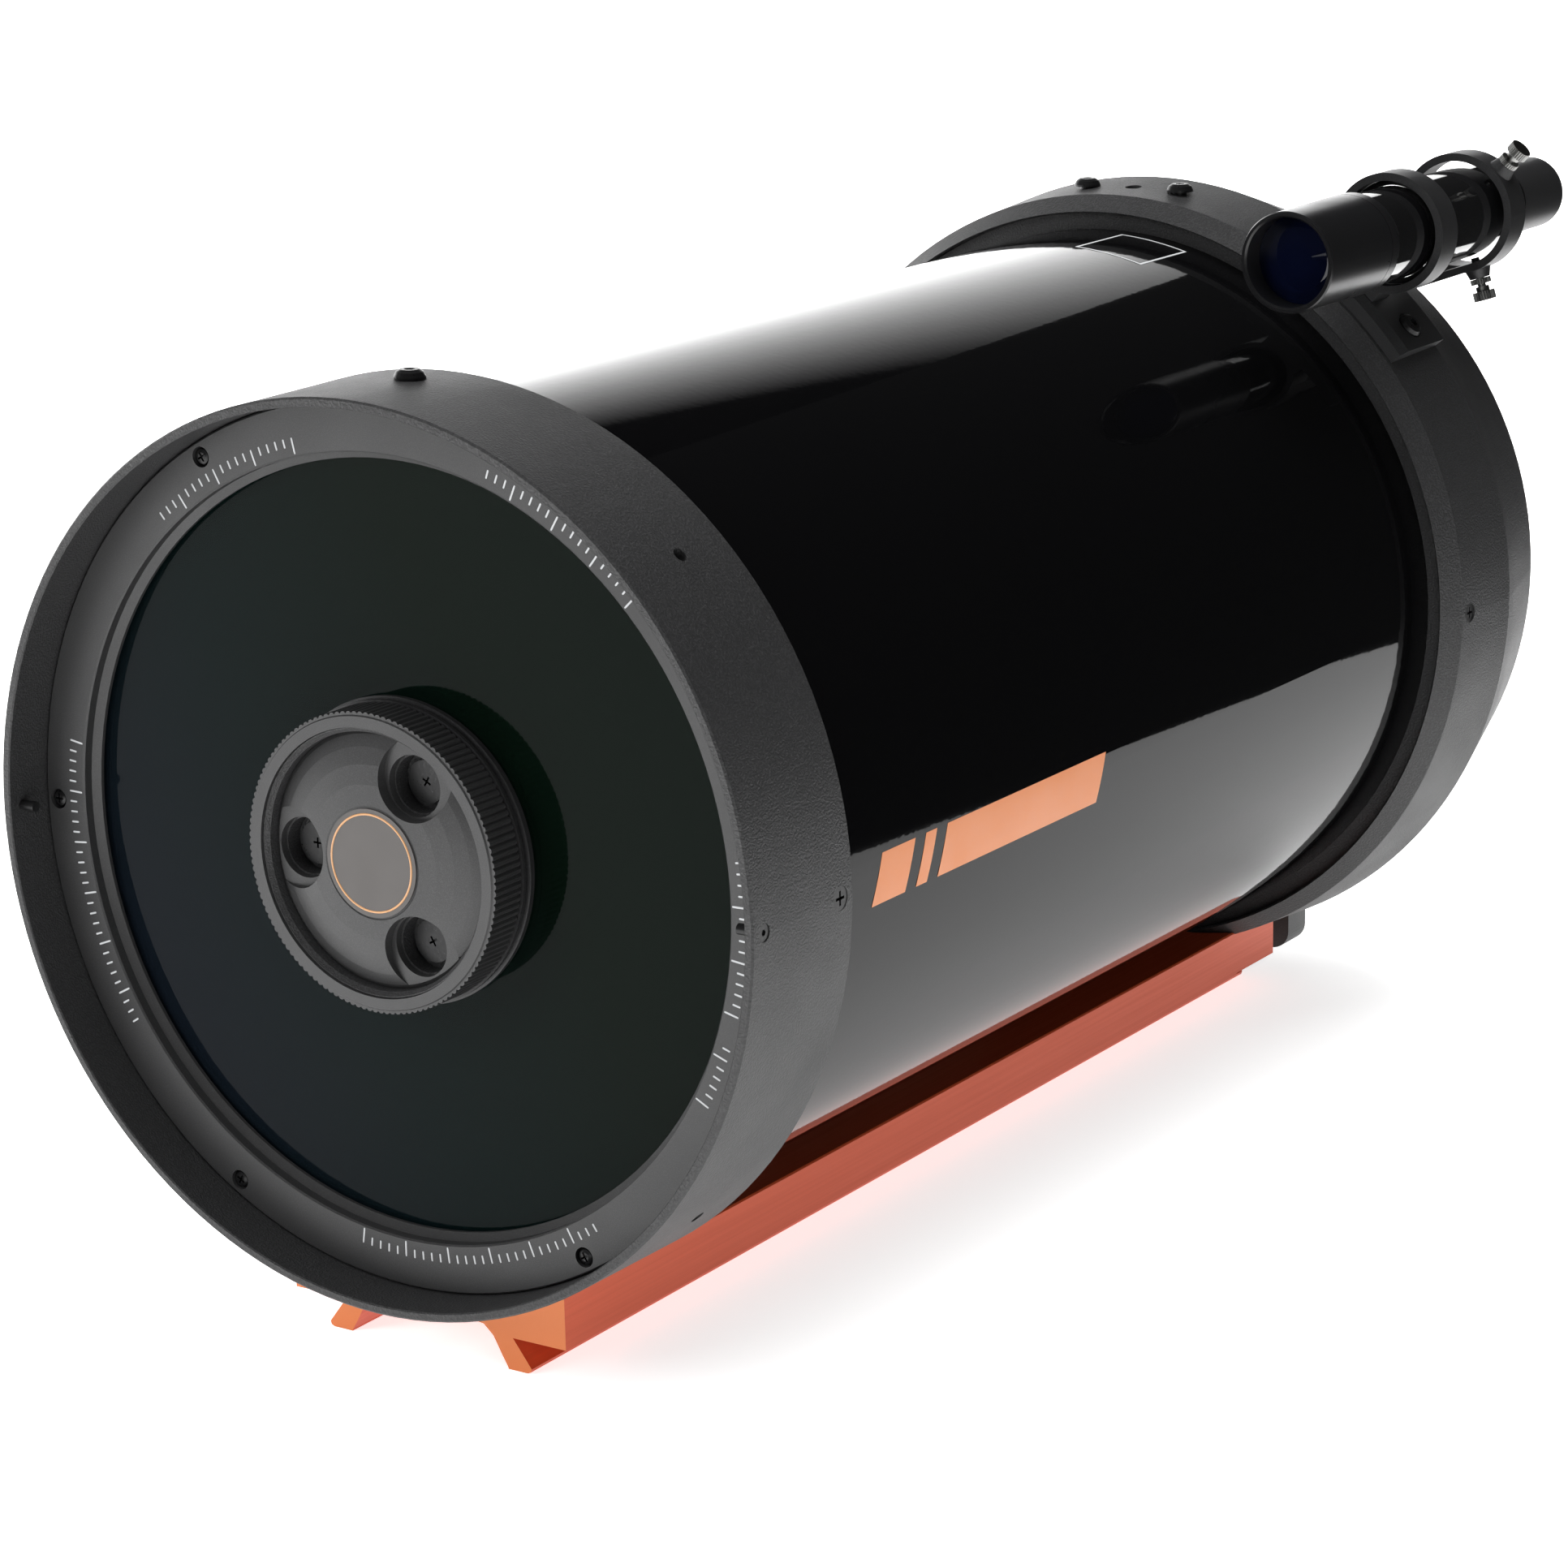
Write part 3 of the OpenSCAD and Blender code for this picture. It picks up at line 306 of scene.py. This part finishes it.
# screws given black steel: the cap pins and the corrector ring's screws are black oxide, and the collimation
# screws are blackened as painted shade of their deep pockets
blackAndShadedHeads = ["cap_pins", "corrector_ring_screws", "collimation_screw_1", "collimation_screw_2",
              "collimation_screw_3"]
for part in frame["record"]["subparts"]:
    cad = nodes[part["node"]]
    cad.data.materials.clear()
    slot = "black_steel" if part["node"] in blackAndShadedHeads else part["material_slot"]
    cad.data.materials.append(finishes[slot])
print("finishes set")

# ---------- painted marks ----------

def flatPaint(name, colour, rough=0.35):
    return plainFinish(name, {"colour": colour, "rough": rough, "grain": 3000, "depth": 0.000004})


orangePaint = flatPaint("orangePaint", (0.62, 0.2, 0.06))
greyPaint = flatPaint("greyPaint", (0.45, 0.46, 0.47))
copperPaint = flatPaint("copperPaint", (0.5, 0.27, 0.13), 0.3)


markSpare = 0.03   # the sleeve is this much longer than the mark, for slanted ends


# a patch of paint that follows the tube: a thin sleeve cut down to its outline
def tubeMark(look):
    clearSelection()
    radius = look["radius"]
    centre = Vector((0, rimY + (look["front"] + look["back"]) / 2, axisHeight))
    bpy.ops.mesh.primitive_cylinder_add(vertices=720, radius=radius, end_fill_type="NOTHING",
                                        depth=look["back"] - look["front"] + markSpare,
                                        rotation=(math.radians(90), 0, 0), location=centre)
    mark = bpy.context.object
    applyPlace(mark)
    bpy.ops.object.mode_set(mode="EDIT")
    bpy.ops.mesh.select_all(action="SELECT")
    low, high = math.radians(look["clockLow"]), math.radians(look["clockHigh"])
    middle = (low + high) / 2
    outward = Vector((math.cos(middle), 0, math.sin(middle)))
    upward = Vector((-math.sin(middle), 0, math.cos(middle)))
    rise = radius * math.sin((high - low) / 2)
    cuts = [(centre + outward * radius * 0.5, -outward), (centre + upward * rise, upward),
            (centre - upward * rise, -upward)]
    slant = look.get("slant", 0)
    for end, way in (("front", -1), ("back", 1)):
        normal = Vector((0, way, 0)) - upward * way * slant
        cuts.append((Vector((0, rimY + look[end], axisHeight)) + outward * radius, normal))
    for place, normal in cuts:
        bpy.ops.mesh.select_all(action="SELECT")
        bpy.ops.mesh.bisect(plane_co=place, plane_no=normal, clear_outer=True, clear_inner=False)
    if look.get("border"):
        bpy.ops.mesh.select_all(action="SELECT")
        bpy.ops.mesh.dissolve_limited(angle_limit=0.0001)
        bpy.ops.mesh.select_all(action="SELECT")
        bpy.ops.mesh.inset(thickness=look["border"], use_boundary=True)
        bpy.ops.mesh.delete(type="FACE")
    bpy.ops.object.mode_set(mode="OBJECT")
    skin = mark.modifiers.new("skin", "SOLIDIFY")
    skin.thickness = look["thick"]
    skin.offset = 1
    applyAll(mark)
    return mark


def joinPieces(pieces):
    clearSelection()
    for piece in pieces:
        piece.select_set(True)
    bpy.context.view_layer.objects.active = pieces[0]
    if len(pieces) > 1:
        bpy.ops.object.join()
    return bpy.context.object


tubeRadius = 0.12732   # a hair outside the paint

sideStripe = {"radius": tubeRadius, "thick": 0.00006, "slant": 0.35, "clockLow": -5.6, "clockHigh": 1.2,
              "bars": [(78, 96), (102, 108), (114, 208)]}
bars = [tubeMark({**sideStripe, "front": a / 1000, "back": b / 1000}) for a, b in sideStripe["bars"]]
finishPiece(joinPieces(bars), "sideStripe", "optical_tube", orangePaint)

topLabel = {"radius": tubeRadius, "thick": 0.00006, "clockLow": 74, "clockHigh": 86,
            "front": 0.400, "back": 0.4335, "border": 0.0009}
labelFrame = tubeMark(topLabel)
finishPiece(labelFrame, "topLabel", "optical_tube", greyPaint)

# index ticks round the corrector's ring, in the six runs
ringTicks = {"radius": 0.1225, "face": 0.0162, "long": 0.0048, "short": 0.0026, "wide": 0.00055,
             "thick": 0.00008, "step": 1.5, "edge": 0.12,
             "runs": [(104, 132), (44, 71), (-14, 8), (-28, -19), (-98, -56), (171, 214)]}
ticks = []
for first, last in ringTicks["runs"]:
    count = int((last - first) / ringTicks["step"])
    for i in range(count + 1):
        angle = math.radians(first + i * ringTicks["step"])
        long = ringTicks["long"] if i % 5 == 0 else ringTicks["short"]
        if not ticks:
            clearSelection()
            bpy.ops.mesh.primitive_cube_add(size=1)
            tick = bpy.context.object
            tick.scale = (1, 0.5, 0.5)
            bpy.ops.object.mode_set(mode="EDIT")
            bpy.ops.mesh.select_all(action="SELECT")
            bpy.ops.mesh.bevel(offset=ringTicks["edge"], segments=1, affect="EDGES")
            bpy.ops.object.mode_set(mode="OBJECT")
            tick.scale = (1, 1, 1)
            firstTick = tick
        else:
            tick = firstTick.copy()
            tick.data = firstTick.data.copy()
            bpy.context.scene.collection.objects.link(tick)
        reach = ringTicks["radius"] + (ringTicks["short"] - long) / 2
        tick.location = (reach * math.cos(angle), rimY + ringTicks["face"] - ringTicks["thick"] / 2,
                         axisHeight + reach * math.sin(angle))
        tick.rotation_euler = (0, -angle, 0)
        tick.scale = (long, ringTicks["thick"], ringTicks["wide"])
        ticks.append(tick)
finishPiece(joinPieces(ticks), "ringTicks", "optical_tube", greyPaint)

# the copper ring set into the badge
badgeRing = {"radius": 0.01455, "wire": 0.00033, "face": 0.00682}
clearSelection()
bpy.ops.mesh.primitive_torus_add(major_radius=badgeRing["radius"], minor_radius=badgeRing["wire"],
                                 major_segments=160, minor_segments=12, rotation=(math.radians(90), 0, 0),
                                 location=(0, rimY + badgeRing["face"], axisHeight))
finishPiece(bpy.context.object, "badgeRing", "secondary_unit", copperPaint)
print("painted marks set")

# ---------- studio ----------

studio = {
    "cameraPlace": (0.781937, -1.203763, 0.509062),
    "right": (0.835696, 0.548834, -0.019848),
    "up": (-0.126597, 0.227682, 0.965471),
    "lens": 102.36,
    "floorWhite": 0.9,
    "floorGlow": 0.72,
    "wallGlow": 1.6,
    "floorBack": 1.3,      # from the object to the wall
    "floorFront": 5.0,
    "floorWide": 6.0,
    "wallHigh": 1.8,
    "fadeFrom": 0.5,
    "fadeTo": 1.15,
    "edgePoint": (0.532, 0.420),   # the sweep's right edge passes here
    "edgeHeading": (-0.633, 0.774),
    "roomGlow": 0.02,
    # name, place, what it faces, size and power of each soft light
    "lights": [("overhead", (-0.3, 0.2, 2.6), (0, 0, 0), (3.0, 3.0), 150),
               ("leftFront", (-1.5, -2.4, 1.4), (0, 0, 0.15), (1.6, 1.6), 70),
               ("rightFront", (2.4, -1.6, 1.0), (0, 0, 0.15), (1.2, 1.2), 16)],
}

cameraData = bpy.data.cameras.new("camera")
camera = bpy.data.objects.new("camera", cameraData)
bpy.context.scene.collection.objects.link(camera)
rightWay, upWay = Vector(studio["right"]), Vector(studio["up"])
backWay = rightWay.cross(upWay)
camera.matrix_world = Matrix((
    (rightWay.x, upWay.x, backWay.x, studio["cameraPlace"][0]),
    (rightWay.y, upWay.y, backWay.y, studio["cameraPlace"][1]),
    (rightWay.z, upWay.z, backWay.z, studio["cameraPlace"][2]),
    (0, 0, 0, 1)))
cameraData.lens = studio["lens"]
cameraData.sensor_width = 36
cameraData.clip_start = 0.05
cameraData.clip_end = 60
bpy.context.scene.camera = camera


def stageMaterial(name, white, glow=0.0):
    material = bpy.data.materials.new(name)
    material.use_nodes = True
    shader = material.node_tree.nodes["Principled BSDF"]
    shader.inputs["Base Color"].default_value = (white, white, white, 1)
    shader.inputs["Roughness"].default_value = 0.9
    shader.inputs["Specular IOR Level"].default_value = 0.1
    shader.inputs["Emission Color"].default_value = (1, 1, 1, 1)
    shader.inputs["Emission Strength"].default_value = glow
    return material


# the floor's back edges that lie below this height
def selectBackEdges(below):
    bpy.ops.mesh.select_all(action="DESELECT")
    mesh = bmesh.from_edit_mesh(floor.data)
    for edge in mesh.edges:
        edge.select_set(all(v.co.dot(alongWay) > studio["floorBack"] - 0.01 and v.co.z < below
                            for v in edge.verts))
    bmesh.update_edit_mesh(floor.data)


# the floor runs back and curves up into a wall that fades to black at its top;
# its right edge is open to a dark room, which gives the tube its sharp reflection
clearSelection()
alongWay = Vector((studio["edgeHeading"][0], studio["edgeHeading"][1], 0))
acrossWay = Vector((alongWay.y, -alongWay.x, 0))
edgePoint = Vector((studio["edgePoint"][0], studio["edgePoint"][1], 0))
floorLength = studio["floorBack"] + studio["floorFront"]
floorMiddle = alongWay * ((studio["floorBack"] - studio["floorFront"]) / 2)
floorRight = acrossWay * edgePoint.dot(acrossWay)
floorCentre = floorMiddle + floorRight - acrossWay * studio["floorWide"] / 2
bpy.ops.mesh.primitive_plane_add(size=1, location=floorCentre,
                                 rotation=(0, 0, math.atan2(-alongWay.x, alongWay.y)))
floor = bpy.context.object
floor.scale = (studio["floorWide"], floorLength, 1)
applyPlace(floor)
floor.name = "floor"
bpy.ops.object.mode_set(mode="EDIT")
bpy.ops.mesh.select_mode(type="EDGE")
selectBackEdges(studio["wallHigh"])
bpy.ops.mesh.extrude_region_move(TRANSFORM_OT_translate={"value": (0, 0, studio["wallHigh"])})
selectBackEdges(0.01)
bpy.ops.mesh.bevel(offset=0.3, segments=16, affect="EDGES")
bpy.ops.mesh.select_all(action="SELECT")
bpy.ops.mesh.normals_make_consistent(inside=False)
bpy.ops.object.mode_set(mode="OBJECT")
if min(floor.data.polygons, key=lambda face: face.center.z).normal.z < 0:
    floor.data.flip_normals()
bpy.ops.object.shade_smooth()
paper = stageMaterial("paper", studio["floorWhite"])
paperTree = paper.node_tree
paperPlace = paperTree.nodes.new("ShaderNodeTexCoord")
paperSplit = paperTree.nodes.new("ShaderNodeSeparateXYZ")
paperTree.links.new(paperPlace.outputs["Object"], paperSplit.inputs[0])
lit = mapTo(paperTree, paperSplit.outputs["Z"], 1, 0, studio["fadeFrom"], studio["fadeTo"])
glow = mapTo(paperTree, paperSplit.outputs["Z"], studio["floorGlow"], studio["wallGlow"], 0.0, 0.25)
product = paperTree.nodes.new("ShaderNodeMath")
product.operation = "MULTIPLY"
paperTree.links.new(lit, product.inputs[0])
paperTree.links.new(glow, product.inputs[1])
paperShader = paperTree.nodes["Principled BSDF"]
paperTree.links.new(product.outputs[0], paperShader.inputs["Emission Strength"])
white = (studio["floorWhite"],) * 3
paperTree.links.new(mixColour(paperTree, lit, (0, 0, 0), white), paperShader.inputs["Base Color"])
# from behind, the sweep is clear, so that the back of the telescope can be seen too
paperSide = paperTree.nodes.new("ShaderNodeNewGeometry")
paperClear = paperTree.nodes.new("ShaderNodeBsdfTransparent")
paperMix = paperTree.nodes.new("ShaderNodeMixShader")
paperTree.links.new(paperSide.outputs["Backfacing"], paperMix.inputs["Fac"])
paperTree.links.new(paperShader.outputs["BSDF"], paperMix.inputs[1])
paperTree.links.new(paperClear.outputs["BSDF"], paperMix.inputs[2])
paperTree.links.new(paperMix.outputs["Shader"], paperTree.nodes["Material Output"].inputs["Surface"])
floor.data.materials.append(paper)


# soft lights that light the telescope, and that neither it nor the camera mirrors or sees
for name, place, aim, size, power in studio["lights"]:
    data = bpy.data.lights.new(name, "AREA")
    data.shape = "RECTANGLE"
    data.size, data.size_y = size
    data.energy = power
    lamp = bpy.data.objects.new(name, data)
    lamp.location = place
    lamp.rotation_euler = (Vector(aim) - Vector(place)).to_track_quat("-Z", "Y").to_euler()
    bpy.context.scene.collection.objects.link(lamp)
    lamp.visible_glossy = False
    lamp.visible_camera = False

world = bpy.data.worlds.new("room")
world.use_nodes = True
world.node_tree.nodes["Background"].inputs["Color"].default_value = (1, 1, 1, 1)
world.node_tree.nodes["Background"].inputs["Strength"].default_value = studio["roomGlow"]
bpy.context.scene.world = world
bpy.context.scene.view_settings.view_transform = "Standard"
print("studio ready")
